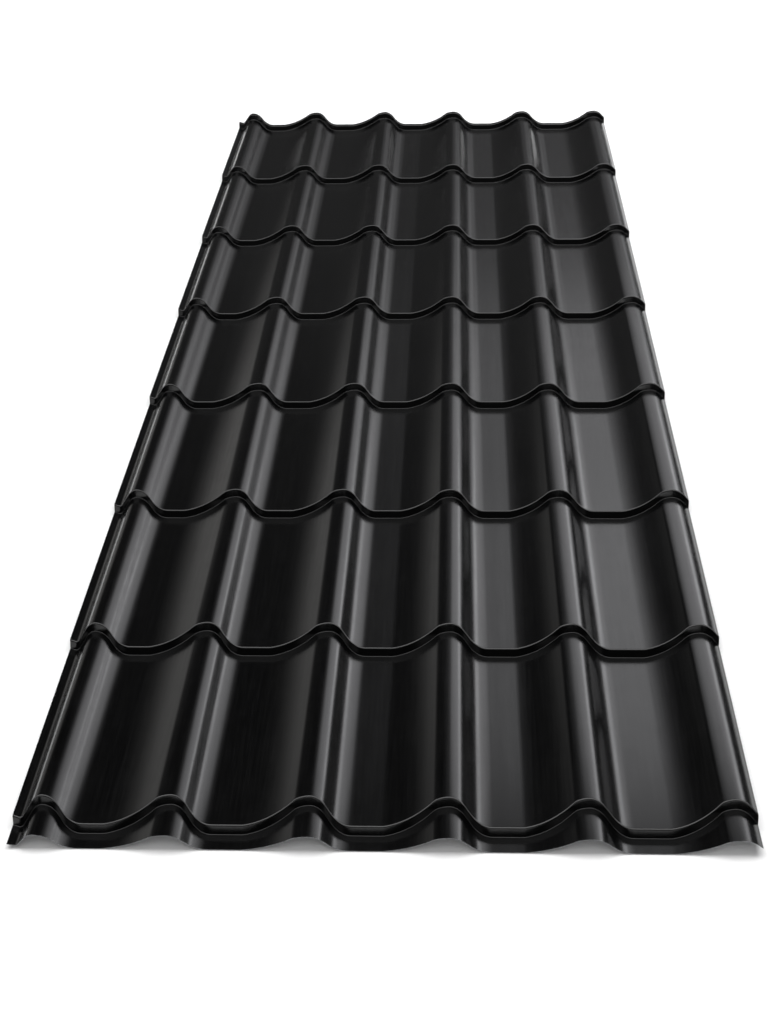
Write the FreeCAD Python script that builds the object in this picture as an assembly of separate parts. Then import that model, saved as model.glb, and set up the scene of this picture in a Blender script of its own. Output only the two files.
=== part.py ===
import FreeCAD, Part
import math
import os
from FreeCAD import Vector

# Tile effect roofing sheet: one coil-coated steel sheet, roll-formed into waves across its width
# and pressed into steps along its length, so that it looks like rows of clay pantiles.
# X runs across the sheet, Y up the roof from the eave end, Z up from the floor that it lies on.
# The origin is the middle of the sheet's outline, on the floor. Sizes are in millimetres.

# the steel, the roll's wave and the press's row
sheet_thickness = 0.7
wave_pitch = 183.3
wave_count = 5
row_length = 400.0
row_count = 7

# one wave, on the underside of the sheet: a flat pan, a toe that turns up into the long gentle side,
# a shoulder, a flat crown, a brow over the steep side, and the hollow at that side's foot
wave_depth = 23.0
toe_radius = 60.0
toe_angle = 6.5
gentle_radius = 170.0
shoulder_radius = 22.0
shoulder_angle = 13.0
crown_radius = 70.0
brow_radius = 33.0
steep_flat = 9.0
foot_radius = 46.0

# the left edge, which goes under the next sheet: a lower and tighter crest, a drain valley and a lip
lap_crest_drop = 1.0
lap_crest_radius = 15.0
lap_brow_radius = 40.0
lap_crest_shift = 12.5
lap_angle = 50.0
valley_height = 4.5
valley_radius = 8.0
lip_angle = 11.0
lip_length = 8.3

# the right edge, which covers the next sheet's lap crest: it stands a little further out than the
# wave's pitch would put it, and stops part way down the steep side
cover_crest_shift = 7.0
cover_edge_length = 6.8

# one step: its height, how far its foot stands out towards the eave, how far the whole step line
# sets back up the roof at the crests, and the steel's thickness up the step in a pan
step_height = 13.0
step_lean = 3.2
crest_setback = 35.5
step_thickness = 0.95

# what stands before the first step and behind the last one
tail_length = 29.0
head_length = 12.0

setback_slope = crest_setback / wave_depth
step_rise = Vector(0, step_lean, step_height)
row_run = Vector(0, row_length, 0) - step_rise
step_gap = step_thickness + (setback_slope - step_lean / step_height) * sheet_thickness


def gentle_side_angle():
    """The gentle side's steepest angle, at which its arcs reach the wave's depth."""
    toe = math.radians(toe_angle)
    shoulder = math.radians(shoulder_angle)
    arcs = toe_radius * (1 - math.cos(toe)) + crown_radius * (1 - math.cos(shoulder))
    bends = gentle_radius * math.cos(toe) + shoulder_radius * math.cos(shoulder)
    return math.acos((arcs + bends - wave_depth) / (gentle_radius + shoulder_radius))


def steep_side_angle():
    """The angle of the straight that joins the brow to the foot at the wave's depth."""
    radii = brow_radius + foot_radius
    return math.asin((wave_depth - radii) / math.hypot(radii, steep_flat)) + math.atan2(radii, steep_flat)


def travel(moves, angle):
    """How far the moves go across and up, from a heading at the angle above X."""
    across = up = 0
    for kind, size, *turn in moves:
        if kind == "line":
            across += size * math.cos(angle)
            up += size * math.sin(angle)
        else:
            radius = math.copysign(size, turn[0])
            across += radius * (math.sin(angle + turn[0]) - math.sin(angle))
            up += radius * (math.cos(angle) - math.cos(angle + turn[0]))
            angle += turn[0]
    return across, up


def section_moves():
    """The section from the lip to the cover edge, as straight lengths and as turns with a radius."""
    toe, shoulder, lap, lip = map(math.radians, (toe_angle, shoulder_angle, lap_angle, lip_angle))
    gentle = gentle_side_angle()
    steep = steep_side_angle()
    climb = [("arc", toe_radius, toe), ("arc", gentle_radius, gentle - toe),
             ("arc", shoulder_radius, shoulder - gentle), ("arc", crown_radius, -shoulder)]
    brow = [("arc", brow_radius, -steep)]
    foot = [("arc", foot_radius, steep)]
    wave = climb + brow + [("line", steep_flat)] + foot
    pan = wave_pitch - travel(wave, 0)[0]

    lap_crest_height = wave_depth - lap_crest_drop
    lap_rise = lap_crest_height - valley_height
    lap_flat = (lap_rise - (valley_radius + lap_crest_radius) * (1 - math.cos(lap))) / math.sin(lap)
    lap_brow = ("arc", lap_brow_radius, -steep)
    fallen = travel([lap_brow], 0)[1] + travel(foot, -steep)[1]
    lap_side = [("line", lip_length), ("arc", valley_radius, lip + lap), ("line", lap_flat),
                ("arc", lap_crest_radius, -lap), lap_brow,
                ("line", (lap_crest_height + fallen) / math.sin(steep))]

    moves = lap_side + foot + [("line", pan - lap_crest_shift)] + wave
    for middle_wave in range(wave_count - 2):
        moves += [("line", pan)] + wave
    return moves + [("line", pan + cover_crest_shift)] + climb + brow + [("line", cover_edge_length)]


def heading(angle):
    """The direction at the angle above X, in the XZ plane."""
    return Vector(math.cos(angle), 0, math.sin(angle))


def skin(moves, start, angle, offset):
    """The edges of one skin of the section, at the offset above the underside."""
    square = math.pi / 2
    point = start + heading(angle + square) * offset
    edges = []
    for kind, size, *turn in moves:
        if kind == "line":
            end = point + heading(angle) * size
            edges.append(Part.makeLine(point, end))
        else:
            side = math.copysign(square, turn[0])
            radius = size - math.copysign(offset, turn[0])
            centre = point + heading(angle + side) * radius
            middle = centre - heading(angle + turn[0] / 2 + side) * radius
            angle += turn[0]
            end = centre - heading(angle + side) * radius
            edges.append(Part.Arc(point, middle, end).toShape())
        point = end
    return edges


def section_skins():
    """The lower and the upper skin's edges, from the lip at X 0, in a plane square to the rows."""
    moves = section_moves()
    lip = math.radians(lip_angle)
    lip_height = valley_height - travel([("line", lip_length), ("arc", valley_radius, lip)], -lip)[1]
    start = Vector(0, 0, lip_height)
    skins = [skin(moves, start, -lip, offset) for offset in (0, sheet_thickness)]
    fall = math.degrees(math.atan2(-row_run.z, row_run.y))
    for edge in skins[0] + skins[1]:
        edge.rotate(Vector(0, 0, 0), Vector(1, 0, 0), -fall)
    return skins


def row_faces(edges, row, start, end):
    """One skin along a row, between two cutting planes, each a place along Y and a lean up the roof."""
    reach = 3 * (wave_depth + step_height)
    left = -wave_pitch
    corners = [
        Vector(left, start[0] - start[1] * reach, -reach),
        Vector(left, end[0] - end[1] * reach, -reach),
        Vector(left, end[0] + end[1] * reach, reach),
        Vector(left, start[0] + start[1] * reach, reach),
    ]
    width = wave_pitch * (wave_count + 3)
    slab = Part.Face(Part.makePolygon(corners + corners[:1])).extrude(Vector(width, 0, 0))
    foot = Vector(0, row * row_length, 0)
    strips = [edge.translated(foot - row_run * 2).extrude(row_run * 4) for edge in edges]
    return Part.makeShell([strip.common(slab).Faces[0] for strip in strips]).Faces


def edges_at(faces, plane):
    """The edges of a skin's faces that lie in a cutting plane."""
    place, lean = plane
    found = []
    for face in faces:
        for edge in face.Edges:
            if all(abs(v.Y - place - lean * v.Z) < 1e-4 for v in edge.Vertexes):
                found.append(edge)
    return found


def outer_ends(edges):
    """The leftmost and the rightmost corner of a line of edges across the sheet."""
    points = sorted((v.Point for edge in edges for v in edge.Vertexes), key=lambda point: point.x)
    return points[0], points[-1]


def side_faces(lines_before, lines_after):
    """The cut edges down both sides of the sheet, between two lines across it."""
    faces = []
    ends = [outer_ends(line) for line in lines_before + lines_after[::-1]]
    for side in (0, 1):
        corners = [pair[side] for pair in ends]
        faces.append(Part.Face(Part.makePolygon(corners + corners[:1])))
    return faces


def end_face(lines):
    """The cut edge across one end of the sheet, between its two skins."""
    lower, upper = lines
    closing = [Part.makeLine(*pair) for pair in zip(outer_ends(lower), outer_ends(upper))]
    return Part.Face(Part.Wire(Part.__sortEdges__(lower + upper + closing)))


def build_sheet():
    """The sheet from the eave up, skin by skin: each row, then the step at its upper end."""
    skins = section_skins()
    gaps = (step_gap, 0)
    head_start = step_lean - setback_slope * step_height
    faces = []
    for row in range(row_count + 2):
        first = row == 0
        last = row == row_count + 1
        starts = []
        ends = []
        for edges, gap in zip(skins, gaps):
            start = (-tail_length, 0) if first else ((row - 1) * row_length + head_start + gap, setback_slope)
            foot = (row * row_length + gap, setback_slope)
            end = ((row - 1) * row_length + head_start + head_length, setback_slope) if last else foot
            skin_faces = row_faces(edges, row, start, end)
            faces += skin_faces
            starts.append(edges_at(skin_faces, start))
            ends.append(edges_at(skin_faces, end))
        faces += side_faces(starts, ends)
        if first:
            faces.append(end_face(starts))
        if last:
            faces.append(end_face(ends))
        else:
            heads = [[edge.translated(step_rise) for edge in line] for line in ends]
            faces += [edge.extrude(step_rise) for line in ends for edge in line]
            faces += side_faces(ends, heads)
    shell = Part.makeShell(faces)
    shell.sewShape()
    sheet = Part.makeSolid(shell)
    box = sheet.optimalBoundingBox(False, False)
    sheet.translate(Vector(-(box.XMin + box.XMax) / 2, -(box.YMin + box.YMax) / 2, -box.ZMin))
    return sheet


os.makedirs("parts", exist_ok=True)
build_sheet().exportStep("parts/roofing_sheet.step")
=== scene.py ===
import math

import bpy
from mathutils import Matrix, Vector


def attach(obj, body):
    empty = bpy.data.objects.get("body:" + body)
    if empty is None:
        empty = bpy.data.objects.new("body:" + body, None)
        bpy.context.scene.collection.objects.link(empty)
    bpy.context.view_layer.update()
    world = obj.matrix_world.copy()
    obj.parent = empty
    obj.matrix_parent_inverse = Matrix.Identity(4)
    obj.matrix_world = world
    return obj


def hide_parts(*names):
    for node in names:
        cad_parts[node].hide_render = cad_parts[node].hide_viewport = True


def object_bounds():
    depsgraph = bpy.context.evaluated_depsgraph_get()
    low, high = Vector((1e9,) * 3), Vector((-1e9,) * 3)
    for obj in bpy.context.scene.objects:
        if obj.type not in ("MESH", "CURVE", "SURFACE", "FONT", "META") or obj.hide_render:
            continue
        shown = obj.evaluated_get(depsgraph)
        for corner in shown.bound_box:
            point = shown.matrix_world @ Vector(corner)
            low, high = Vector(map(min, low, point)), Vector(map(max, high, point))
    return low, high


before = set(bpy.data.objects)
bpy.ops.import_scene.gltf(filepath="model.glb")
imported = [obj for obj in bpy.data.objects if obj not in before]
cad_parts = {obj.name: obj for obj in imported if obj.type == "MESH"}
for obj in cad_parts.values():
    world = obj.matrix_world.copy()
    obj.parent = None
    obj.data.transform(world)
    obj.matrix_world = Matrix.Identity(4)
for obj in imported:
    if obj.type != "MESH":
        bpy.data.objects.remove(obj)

cad_low, cad_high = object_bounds()

# The roofing sheet: one coil-coated steel sheet, roll-formed into six crests with pans between them,
# then pressed row by row, so that each row's foot drops over a step like the edge of a clay pantile.
# Every step line sets back up the roof at the crests, because the press works across the standing wave.

MM = 0.001
sheet_thickness = 0.7 * MM
row_length = 400 * MM
row_count = 7
step_height = 13 * MM
step_lean = 3.2 * MM
crest_setback = 35.5 * MM
wave_depth = 23 * MM
wave_pitch = 183.3 * MM
wave_count = 5
tail_length = 29 * MM
head_length = 12 * MM
row_run = Vector((0, row_length - step_lean, -step_height))
step_rise = Vector((0, step_lean, step_height))


def line(length, support=0.0, parts=1):
    """A straight stretch in equal parts, with a stop near each end to hold a bend's shading back."""
    inner = length - 2 * support
    stops = [support + inner * part / parts for part in range(1, parts)]
    if support:
        stops = [support] + stops + [length - support]
    return "line", length, stops


def arc(radius, turn, facet=math.radians(3)):
    """A bend to a radius, turning left where turn is positive, in facets of about the given angle."""
    return "arc", radius, turn, max(1, round(abs(turn) / facet))


def trace(moves, angle, offset=0.0):
    """The points that the moves pass from the origin, on the skin that lies the offset to their left."""
    left = angle + math.pi / 2
    x, y = offset * math.cos(left), offset * math.sin(left)
    points = [(x, y)]
    for kind, size, *rest in moves:
        if kind == "line":
            for stop in rest[0] + [size]:
                points.append((x + stop * math.cos(angle), y + stop * math.sin(angle)))
        else:
            turn, facets = rest
            side = math.copysign(math.pi / 2, turn)
            radius = size - math.copysign(offset, turn)
            middle_x = x + radius * math.cos(angle + side)
            middle_y = y + radius * math.sin(angle + side)
            for facet in range(1, facets + 1):
                spoke = angle + turn * facet / facets - side
                points.append((middle_x + radius * math.cos(spoke), middle_y + radius * math.sin(spoke)))
            angle += turn
        x, y = points[-1]
    return points


def wave_moves():
    """The section from the drain lip on the left to the cover edge on the right, along its underside."""
    toe_radius, gentle_radius, shoulder_radius, crown_radius = 60 * MM, 170 * MM, 22 * MM, 70 * MM
    brow_radius, steep_flat, foot_radius = 33 * MM, 9 * MM, 46 * MM
    toe, shoulder = math.radians(6.5), math.radians(13)

    arcs = toe_radius * (1 - math.cos(toe)) + crown_radius * (1 - math.cos(shoulder))
    bends = gentle_radius * math.cos(toe) + shoulder_radius * math.cos(shoulder)
    gentle = math.acos((arcs + bends - wave_depth) / (gentle_radius + shoulder_radius))
    radii = brow_radius + foot_radius
    steep = math.asin((wave_depth - radii) / math.hypot(radii, steep_flat)) + math.atan2(radii, steep_flat)
    climb = [arc(toe_radius, toe), arc(gentle_radius, gentle - toe),
             arc(shoulder_radius, shoulder - gentle, math.radians(3.5)), arc(crown_radius, -shoulder)]
    brow = [arc(brow_radius, -steep, math.radians(3.2))]
    foot = [arc(foot_radius, steep, math.radians(3.2))]
    wave = climb + brow + [line(steep_flat, parts=2)] + foot
    pan = wave_pitch - trace(wave, 0)[-1][0]

    valley_height, valley_radius, lap_crest_radius = 4.5 * MM, 8 * MM, 15 * MM
    lip_length, lip, lap = 8.3 * MM, math.radians(11), math.radians(50)
    lap_crest_drop, lap_brow_radius = 1 * MM, 40 * MM
    lap_crest_shift, cover_crest_shift, cover_edge_length = 12.5 * MM, 7 * MM, 6.8 * MM
    lap_support = 1 * MM
    lap_crest_height = wave_depth - lap_crest_drop
    lap_flat = (lap_crest_height - valley_height
                - (valley_radius + lap_crest_radius) * (1 - math.cos(lap))) / math.sin(lap)
    lap_brow = arc(lap_brow_radius, -steep, math.radians(3.2))
    fallen = trace([lap_brow], 0)[-1][1] + trace(foot, -steep)[-1][1]
    moves = [line(lip_length, parts=2), arc(valley_radius, lip + lap, math.radians(5)),
             line(lap_flat, lap_support), arc(lap_crest_radius, -lap, math.radians(4.5)), lap_brow,
             line((lap_crest_height + fallen) / math.sin(steep))]
    moves += foot + [line(pan - lap_crest_shift, parts=2)] + wave
    for middle_wave in range(wave_count - 2):
        moves += [line(pan, parts=3)] + wave
    moves += [line(pan + cover_crest_shift, parts=3)] + climb + brow
    moves += [line(cover_edge_length, parts=2)]
    lip_drop = trace([line(lip_length), arc(valley_radius, lip)], -lip)[-1][1]
    return moves, -lip, valley_height - lip_drop


def press_moves():
    """One row's pressing along the sheet: the step's foot bend, its rise, its head bend and the row's run."""
    foot_radius, head_radius = 0.8 * MM, 2.3 * MM
    support = 0.9 * MM
    fall = math.atan2(-row_run.z, row_run.y)
    turn = math.atan2(step_rise.z, step_rise.y) + fall
    foot_tangent, head_tangent = foot_radius * math.tan(turn / 2), head_radius * math.tan(turn / 2)
    facet = turn / 6
    stub = head_length / (math.cos(fall) + crest_setback / wave_depth * math.sin(fall))
    moves = [("line", support, []), arc(foot_radius, turn, facet),
             line(step_rise.length - foot_tangent - head_tangent, support), arc(head_radius, -turn, facet),
             ("line", stub - head_tangent, [support])]
    stub_points = len(trace(moves, 0)) - 1
    rest = row_run.length - stub - foot_tangent - support
    moves.append(("line", rest * 0.8, [rest * 0.27, rest * 0.54]))
    start = -row_run.normalized() * (foot_tangent + support)
    return moves, -fall, start, stub_points


def helper_line(name, places):
    """A chain of points that the press reads, as an object of its own."""
    mesh = bpy.data.meshes.new(name)
    mesh.from_pydata(places, [(i, i + 1) for i in range(len(places) - 1)], [])
    thing = bpy.data.objects.new(name, mesh)
    bpy.context.scene.collection.objects.link(thing)
    return thing


def leaning_section():
    """The wave's upper skin, slid along the rows into the plane that a step line lies in."""
    moves, angle, lip_height = wave_moves()
    slope = crest_setback / wave_depth
    fall = math.atan2(-row_run.z, row_run.y)
    places = []
    for across, up in trace(moves, angle, sheet_thickness):
        up += lip_height
        slide = up * (slope * math.cos(fall) - math.sin(fall)) / (row_run.y - slope * row_run.z)
        places.append(Vector((across, up * math.sin(fall), up * math.cos(fall))) + row_run * slide)
    return places


def add_node(tree, kind, *inputs, **settings):
    """A node of a tree, with its settings made and its inputs in order, linked or given a value."""
    node = tree.nodes.new(kind)
    for key, value in settings.items():
        setattr(node, key, value)
    for key, value in enumerate(inputs):
        if value is None:
            continue
        if isinstance(value, bpy.types.NodeSocket):
            tree.links.new(value, node.inputs[key])
        else:
            node.inputs[key].default_value = value
    return node


def press_tree():
    """The press as a tree: a flat grid takes the wave across it and the row's pressing along it."""
    tree = bpy.data.node_groups.new("pressed sheet", "GeometryNodeTree")
    sockets = (("Wave section", "Object"), ("Row pressing", "Object"), ("Row length", "Float"),
               ("Row count", "Int"), ("Stub points", "Int"), ("Tail length", "Float"),
               ("Row fall", "Float"), ("Eave corner", "Vector"), ("Coating", "Material"))
    for name, kind in sockets:
        tree.interface.new_socket(name, in_out="INPUT", socket_type="NodeSocket" + kind)
    tree.interface.new_socket("Sheet", in_out="OUTPUT", socket_type="NodeSocketGeometry")
    given = tree.nodes.new("NodeGroupInput").outputs

    def maths(operation, *values):
        return add_node(tree, "ShaderNodeMath", *values, operation=operation).outputs[0]

    def together(*places):
        return add_node(tree, "ShaderNodeVectorMath", *places, operation="ADD").outputs[0]

    def chain(source):
        shape = add_node(tree, "GeometryNodeObjectInfo", source).outputs["Geometry"]
        count = add_node(tree, "GeometryNodeAttributeDomainSize", shape).outputs["Point Count"]
        return shape, count

    def place_on(shape, index):
        where = tree.nodes.new("GeometryNodeInputPosition").outputs[0]
        sample = tree.nodes.new("GeometryNodeSampleIndex")
        sample.data_type = "FLOAT_VECTOR"
        tree.links.new(shape, sample.inputs["Geometry"])
        tree.links.new(where, sample.inputs["Value"])
        tree.links.new(index, sample.inputs["Index"])
        return sample.outputs[0]

    section, columns = chain(given["Wave section"])
    pressing, row_points = chain(given["Row pressing"])
    lines = maths("MULTIPLY_ADD", given["Row count"], row_points, 1.0)
    lines = maths("ADD", lines, given["Stub points"])
    grid = add_node(tree, "GeometryNodeMeshGrid", 1.0, 1.0, columns, lines).outputs["Mesh"]
    index = tree.nodes.new("GeometryNodeInputIndex").outputs[0]
    column = maths("FLOOR", maths("DIVIDE", maths("ADD", index, 0.5), lines))
    along = maths("SUBTRACT", maths("SUBTRACT", index, maths("MULTIPLY", column, lines)), 1.0)
    row = maths("FLOOR", maths("DIVIDE", maths("ADD", along, 0.5), row_points))
    stop = maths("SUBTRACT", along, maths("MULTIPLY", row, row_points))

    wave = place_on(section, column)
    pressed = place_on(pressing, stop)
    up_the_roof = maths("MULTIPLY", row, given["Row length"])
    up_the_roof = add_node(tree, "ShaderNodeCombineXYZ", 0.0, up_the_roof, 0.0).outputs[0]
    on_row = together(together(wave, pressed), up_the_roof)

    parts = add_node(tree, "ShaderNodeSeparateXYZ", wave).outputs
    eave = maths("MULTIPLY", given["Tail length"], -1.0)
    back = maths("SUBTRACT", eave, parts["Y"])
    eave_height = maths("MULTIPLY_ADD", back, given["Row fall"], parts["Z"])
    cut = add_node(tree, "ShaderNodeCombineXYZ", parts["X"], eave, eave_height).outputs[0]
    before = maths("LESS_THAN", along, -0.5)
    place = add_node(tree, "ShaderNodeMix", data_type="VECTOR")
    for key, value in (("Factor", before), ("A", on_row), ("B", cut)):
        socket = [s for s in place.inputs if s.name == key and s.enabled][0]
        tree.links.new(value, socket)
    blended = [s for s in place.outputs if s.enabled][0]
    settled = together(blended, given["Eave corner"])

    moved = add_node(tree, "GeometryNodeSetPosition", grid)
    tree.links.new(settled, moved.inputs["Position"])
    smooth = add_node(tree, "GeometryNodeSetShadeSmooth", moved.outputs[0])
    real = add_node(tree, "GeometryNodeRealizeInstances", smooth.outputs[0])
    coated = add_node(tree, "GeometryNodeSetMaterial", real.outputs[0])
    tree.links.new(given["Coating"], coated.inputs["Material"])
    tree.links.new(coated.outputs[0], tree.nodes.new("NodeGroupOutput").inputs[0])
    return tree


def finish_tree(name):
    """A new material with an empty tree, its shader, and the object's own coordinates to draw on."""
    material = bpy.data.materials.new(name)
    material.use_nodes = True
    tree = material.node_tree
    tree.nodes.clear()
    shader = tree.nodes.new("ShaderNodeBsdfPrincipled")
    output = tree.nodes.new("ShaderNodeOutputMaterial")
    tree.links.new(shader.outputs[0], output.inputs["Surface"])
    place = tree.nodes.new("ShaderNodeTexCoord").outputs["Object"]
    return material, tree, shader, place


def grain(tree, place, scale, size, detail=3.0, roughness=0.5):
    """Noise over the surface, stretched by a scale for each axis, of about the given size in metres."""
    stretched = add_node(tree, "ShaderNodeMapping", place)
    stretched.inputs["Scale"].default_value = scale
    noise = tree.nodes.new("ShaderNodeTexNoise")
    tree.links.new(stretched.outputs[0], noise.inputs["Vector"])
    noise.inputs["Scale"].default_value = 1 / size
    noise.inputs["Detail"].default_value = detail
    noise.inputs["Roughness"].default_value = roughness
    return noise.outputs["Fac"]


def between(tree, value, low, high, to_low, to_high, smooth=False):
    """A value taken from one range to another and held at both ends."""
    node = add_node(tree, "ShaderNodeMapRange", value, low, high, to_low, to_high)
    node.interpolation_type = "SMOOTHSTEP" if smooth else "LINEAR"
    return node.outputs[0]


def bumps(tree, height, distance, under=None):
    """A bump layer of a given height in metres, over another one where there is one."""
    bump = tree.nodes.new("ShaderNodeBump")
    bump.inputs["Strength"].default_value = 1.0
    bump.inputs["Distance"].default_value = distance
    tree.links.new(height, bump.inputs["Height"])
    if under is not None:
        tree.links.new(under, bump.inputs["Normal"])
    return bump.outputs[0]


def colours(tree, value, low, high):
    """A blend between two colours, each red, green and blue, by a value from 0 to 1."""
    mix = tree.nodes.new("ShaderNodeMix")
    mix.data_type = "RGBA"
    sockets = {s.name: s for s in mix.inputs if s.enabled}
    tree.links.new(value, sockets["Factor"])
    sockets["A"].default_value = (*low, 1)
    sockets["B"].default_value = (*high, 1)
    return [s for s in mix.outputs if s.enabled][0]


def black_coating():
    """Satin black coil paint: a fine orange peel, faint marks drawn along the rolls, and light dust."""
    material, tree, shader, place = finish_tree("black coating")
    cloud = grain(tree, place, (1, 0.6, 1), 0.16, 4)
    drawn = grain(tree, place, (1, 0.012, 1), 0.0035, 3, 0.6)
    peel = grain(tree, place, (1, 1, 1), 0.0016, 2)
    dust = grain(tree, place, (1, 1, 1), 0.03, 6, 0.7)
    shade = between(tree, cloud, 0.35, 0.7, 0, 1)
    tree.links.new(colours(tree, shade, (0.0010, 0.0010, 0.0011), (0.0017, 0.0017, 0.0018)),
                   shader.inputs["Base Color"])
    dusted = add_node(tree, "ShaderNodeMath", between(tree, dust, 0.45, 0.75, 0, 0.03),
                      between(tree, drawn, 0.3, 0.7, 0.165, 0.225), operation="ADD").outputs[0]
    tree.links.new(dusted, shader.inputs["Roughness"])
    shader.inputs["IOR"].default_value = 1.5
    long_waves = grain(tree, place, (1, 0.35, 1), 0.05, 1)
    under = bumps(tree, long_waves, 0.00012)
    under = bumps(tree, drawn, 0.00002, under=under)
    tree.links.new(bumps(tree, peel, 0.000006, under=under), shader.inputs["Normal"])
    return material


def backing_coat():
    """The thin grey backing coat under the sheet, matt and a little mottled."""
    material, tree, shader, place = finish_tree("grey backing coat")
    mottle = grain(tree, place, (1, 0.4, 1), 0.02, 5, 0.6)
    drawn = grain(tree, place, (1, 0.01, 1), 0.004, 3)
    shade = between(tree, mottle, 0.3, 0.7, 0, 1)
    tree.links.new(colours(tree, shade, (0.19, 0.195, 0.2), (0.25, 0.255, 0.26)),
                   shader.inputs["Base Color"])
    tree.links.new(between(tree, drawn, 0.3, 0.7, 0.42, 0.55), shader.inputs["Roughness"])
    tree.links.new(bumps(tree, drawn, 0.00001), shader.inputs["Normal"])
    return material


def cut_edge():
    """The sheared edge: bright zinc and steel between the two coats, with a dark drag of paint."""
    material, tree, shader, place = finish_tree("sheared zinc edge")
    drag = grain(tree, place, (1, 1, 1), 0.003, 4, 0.7)
    shade = between(tree, drag, 0.35, 0.65, 0, 1)
    tree.links.new(colours(tree, shade, (0.1, 0.1, 0.105), (0.3, 0.305, 0.315)),
                   shader.inputs["Base Color"])
    shader.inputs["Metallic"].default_value = 1.0
    tree.links.new(between(tree, drag, 0.3, 0.7, 0.35, 0.55), shader.inputs["Roughness"])
    tree.links.new(bumps(tree, drag, 0.00002), shader.inputs["Normal"])
    return material


def solid_mesh(thing, name):
    """The evaluated mesh of an object, with its modifiers made real."""
    bpy.context.view_layer.update()
    seen = thing.evaluated_get(bpy.context.evaluated_depsgraph_get())
    mesh = bpy.data.meshes.new_from_object(seen)
    mesh.name = name
    return mesh


def press_sheet():
    """Runs the press on the wave section, then gives the skin its steel, its backing and its cut edges."""
    coats = [black_coating(), backing_coat(), cut_edge()]
    moves, angle, start, stub_points = press_moves()
    section = helper_line("wave section", leaning_section())
    pressing = helper_line("row pressing", [(0, start.y + y, start.z + z) for y, z in trace(moves, angle)])

    skin = bpy.data.objects.new("pressed skin", bpy.data.meshes.new("pressed skin"))
    bpy.context.scene.collection.objects.link(skin)
    press = skin.modifiers.new("press", "NODES")
    tree = press_tree()
    press.node_group = tree
    sizes = {"Wave section": section, "Row pressing": pressing, "Row length": row_length,
             "Row count": row_count, "Stub points": stub_points + 1, "Tail length": tail_length,
             "Row fall": row_run.z / row_run.y, "Coating": coats[0],
             "Eave corner": (cad_low.x, cad_low.y + tail_length, 0.0)}
    for socket in tree.interface.items_tree:
        if socket.in_out == "INPUT":
            press[socket.identifier] = sizes[socket.name]
    mesh = solid_mesh(skin, "pressed skin")
    for thing in (skin, section, pressing):
        bpy.data.objects.remove(thing)

    mesh.materials.clear()
    for coat in coats:
        mesh.materials.append(coat)
    sheet = bpy.data.objects.new("sheet", mesh)
    bpy.context.scene.collection.objects.link(sheet)
    steel = sheet.modifiers.new("steel", "SOLIDIFY")
    steel.thickness = sheet_thickness
    steel.offset = -1
    steel.use_even_offset = True
    steel.use_quality_normals = True
    steel.material_offset = 1
    steel.material_offset_rim = 2
    sheet.data = solid_mesh(sheet, "sheet")
    sheet.modifiers.clear()
    for corner in sheet.data.vertices:
        for axis in (0, 1, 2):
            corner.co[axis] = min(max(corner.co[axis], cad_low[axis]), cad_high[axis])
    sheet.data.set_sharp_from_angle(angle=math.radians(50))
    return sheet


sheet = press_sheet()
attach(sheet, "root")
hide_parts("roofing_sheet")


# The studio: a pale floor that the sheet lies on, under soft lamps overhead. The satin coat mirrors the
# softboxes that hang level over the far end as grey bands in the right-hand pans, and the panels at the
# sides as thin bright lines along the waves.

def stage_floor():
    """A wide pale floor that keeps the sheet's real shadow near its outline, where it has only a faint
    painted glow, and is made white further out by a stronger painted glow.
    """
    shadow_reach, white_from, half = 0.05, 0.45, 30.0
    material = bpy.data.materials.new("pale floor")
    material.use_nodes = True
    tree = material.node_tree
    tree.nodes.clear()
    place = tree.nodes.new("ShaderNodeTexCoord").outputs["Object"]
    mottle = grain(tree, place, (1, 1, 1), 0.6, 3)
    matt = tree.nodes.new("ShaderNodeBsdfDiffuse")
    tree.links.new(colours(tree, mottle, (0.87, 0.87, 0.87), (0.89, 0.89, 0.89)), matt.inputs["Color"])
    rays = tree.nodes.new("ShaderNodeLightPath").outputs
    seen = add_node(tree, "ShaderNodeMath", rays["Is Camera Ray"], rays["Is Glossy Ray"], operation="ADD")
    seen = add_node(tree, "ShaderNodeMath", seen.outputs[0], rays["Is Transmission Ray"], operation="ADD")
    beyond = add_node(tree, "ShaderNodeVectorMath", place, operation="ABSOLUTE").outputs[0]
    for operation, value in (("SUBTRACT", (cad_high.x, cad_high.y, 0)), ("MAXIMUM", (0, 0, 0))):
        beyond = add_node(tree, "ShaderNodeVectorMath", beyond, value, operation=operation).outputs[0]
    apart = add_node(tree, "ShaderNodeVectorMath", beyond, operation="LENGTH").outputs["Value"]
    # Painted light: the floor glows for the camera and in reflections. The glow is faint within shadow_reach
    # of the sheet's outline and grows to 0.6 from white_from on, so the floor turns white away from the sheet
    # while the lamps' shadow near it stays.
    painted_light_lift = between(tree, apart, shadow_reach, white_from, 0.06, 0.6, True)
    painted_light_lift = add_node(tree, "ShaderNodeMath", seen.outputs[0], painted_light_lift, operation="MULTIPLY")
    painted_glow = tree.nodes.new("ShaderNodeEmission")
    tree.links.new(painted_light_lift.outputs[0], painted_glow.inputs["Strength"])
    both = add_node(tree, "ShaderNodeAddShader", matt.outputs[0], painted_glow.outputs[0])
    output = tree.nodes.new("ShaderNodeOutputMaterial")
    tree.links.new(both.outputs[0], output.inputs["Surface"])
    mesh = bpy.data.meshes.new("floor")
    corners = [(-half, -half, 0), (half, -half, 0), (half, half, 0), (-half, half, 0)]
    mesh.from_pydata(corners, [], [(0, 1, 2, 3)])
    mesh.materials.append(material)
    floor = bpy.data.objects.new("floor", mesh)
    bpy.context.scene.collection.objects.link(floor)


stage_floor()

# where the camera stands, and its heading turned a little left of the sheet's rows
camera_place = Vector((0.0939, -3.1543, 1.5397))
camera_turn = math.radians(2.708)
ahead = Vector((-math.sin(camera_turn), math.cos(camera_turn), 0))
to_right = Vector((math.cos(camera_turn), math.sin(camera_turn), 0))


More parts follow.
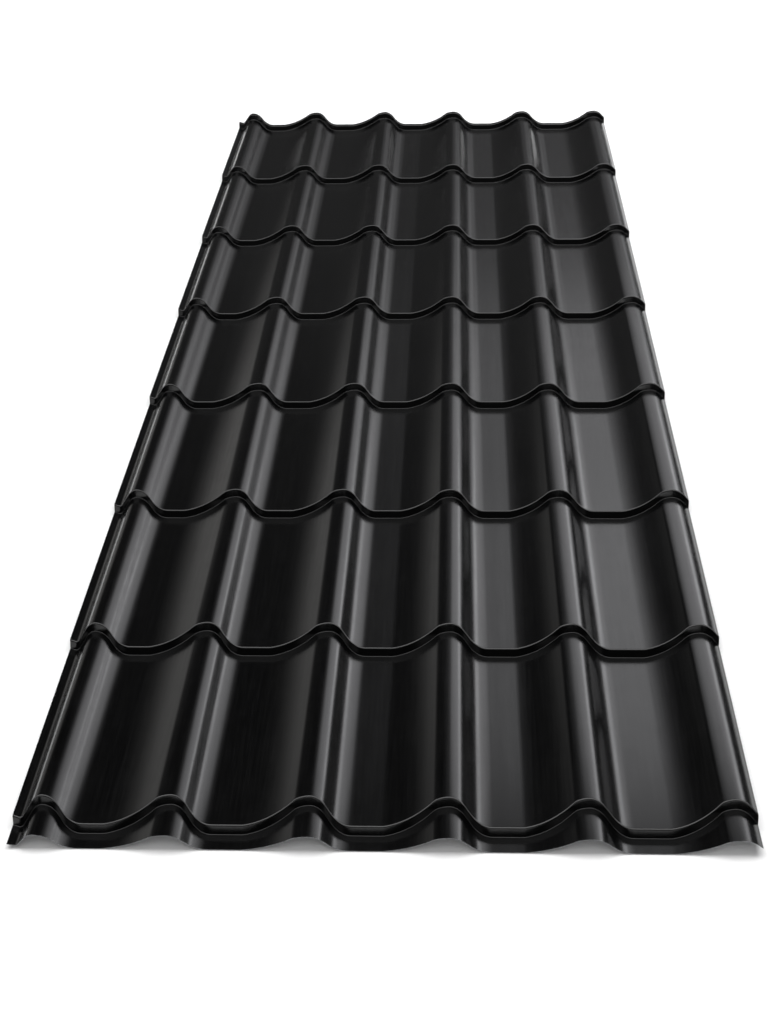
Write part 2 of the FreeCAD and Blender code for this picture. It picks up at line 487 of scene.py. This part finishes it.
def area_lamp(name, width, length, level, colour):
    """A rectangular lamp that only the camera can't see, with the brightness of its face."""
    lamp = bpy.data.lights.new(name, "AREA")
    lamp.shape = "RECTANGLE"
    lamp.size = width
    lamp.size_y = length
    lamp.energy = level * math.pi * width * length
    lamp.color = colour
    thing = bpy.data.objects.new(name, lamp)
    thing.visible_camera = False
    bpy.context.scene.collection.objects.link(thing)
    return thing


def softbox(name, turns, heights, level, colour=(1, 1, 1), distance=30.0):
    """A softbox between two turns from the camera's heading and two heights above the floor, all in
    degrees as the sheet's eave end sees them. One that is high overhead keeps a share of its width."""
    least_share = 0.4
    turn = math.radians(sum(turns) / 2)
    height = math.radians(sum(heights) / 2)
    away = (ahead * math.cos(turn) + to_right * math.sin(turn)) * math.cos(height)
    away.z = math.sin(height)
    width = 2 * distance * math.tan(math.radians(turns[1] - turns[0]) / 2)
    width *= max(math.cos(height), least_share)
    length = 2 * distance * math.tan(math.radians(heights[1] - heights[0]) / 2)
    thing = area_lamp(name, width, length, level, colour)
    thing.location = Vector((0, -1.0, 0)) + away * distance
    thing.rotation_euler = away.to_track_quat("Z", "Y").to_euler()


def ceiling_box(name, across, along, height, level, colour):
    """A softbox that hangs level over the far rows, between two places across and two along."""
    thing = area_lamp(name, across[1] - across[0], along[1] - along[0], level, colour)
    thing.location = (sum(across) / 2, sum(along) / 2, height)


cool = (0.975, 0.975, 1.0)
warm = (1.0, 0.985, 0.96)
softbox("overhead softbox", (-60, 60), (61, 99), 4.2, distance=14.0)
softbox("softbox behind the camera", (145, 215), (40, 72), 1.8, distance=9.0)
right_end, near_end = 2.7, 0.85
ceiling = ((-0.25, 0.1), (-0.05, 0.14), (0.1, 0.2), (0.22, 0.24),
           (0.4, 0.22), (0.55, 0.18), (0.9, 0.21), (1.2, 0.29))
for number, (inner, level) in enumerate(ceiling):
    ceiling_box(f"ceiling softbox from {inner}", (inner, right_end), (near_end, 4.9),
                1.7 + 0.01 * number, level, cool)
ceiling_box("near ceiling softbox", (0.1, right_end), (near_end, 2.6), 1.67, 0.25, cool)
ceiling_box("near ceiling softbox, inner half", (0.25, 1.6), (near_end, 2.6), 1.66, 0.3, cool)
ceiling_box("bright ceiling strip", (1.65, 2.45), (near_end, 4.6), 1.68, 1.85, cool)
for start, level in ((2, 0.12), (8, 0.2), (15, 0.4)):
    softbox(f"low right panel from {start}", (start, 31), (10, 20), level, cool)
for inner, top, level in ((-16, 24, 0.13), (-19, 21, 0.15), (-21, 18, 0.17)):
    softbox(f"left panel to {inner}", (-46, inner), (4, top), level, warm)


def studio_air():
    """Pale air at the horizon, behind the floor, and the dim studio above it that the black coat mirrors."""
    world = bpy.data.worlds.new("studio")
    world.use_nodes = True
    tree = world.node_tree
    tree.nodes.clear()
    towards = tree.nodes.new("ShaderNodeTexCoord").outputs["Generated"]
    height = add_node(tree, "ShaderNodeSeparateXYZ", towards).outputs["Z"]
    ramp = tree.nodes.new("ShaderNodeValToRGB")
    tree.links.new(height, ramp.inputs[0])
    stops = ((0.0, 1.0), (0.004, 1.0), (0.025, 0.03), (0.15, 0.045),
             (0.29, 0.085), (0.42, 0.038), (0.55, 0.01))
    while len(ramp.color_ramp.elements) < len(stops):
        ramp.color_ramp.elements.new(0.5)
    for stop, (place, level) in zip(ramp.color_ramp.elements, stops):
        stop.position = place
        stop.color = (level, level, level, 1)
    air = tree.nodes.new("ShaderNodeBackground")
    tree.links.new(ramp.outputs[0], air.inputs["Color"])
    output = tree.nodes.new("ShaderNodeOutputWorld")
    tree.links.new(air.outputs[0], output.inputs["Surface"])
    bpy.context.scene.world = world


studio_air()


# The camera: a 62 mm lens on a full frame, upright, looking down on the sheet from beyond its eave end.

def stand_camera():
    """The camera as the photograph's lines give it: its place, turn, downward tilt and slight roll."""
    tilt, roll = math.radians(30.93), math.radians(-1.271)
    forward = ahead * math.cos(tilt) - Vector((0, 0, math.sin(tilt)))
    level_up = ahead * math.sin(tilt) + Vector((0, 0, math.cos(tilt)))
    right = to_right * math.cos(roll) + level_up * math.sin(roll)
    up = level_up * math.cos(roll) - to_right * math.sin(roll)
    lens = bpy.data.cameras.new("camera")
    lens.sensor_fit = "VERTICAL"
    lens.sensor_height = 36.0
    lens.lens = 61.83
    camera = bpy.data.objects.new("camera", lens)
    bpy.context.scene.collection.objects.link(camera)
    axes = Matrix((right, up, -forward)).transposed().to_4x4()
    camera.matrix_world = Matrix.Translation(camera_place) @ axes
    bpy.context.scene.camera = camera


stand_camera()
bpy.context.scene.view_settings.view_transform = "Standard"
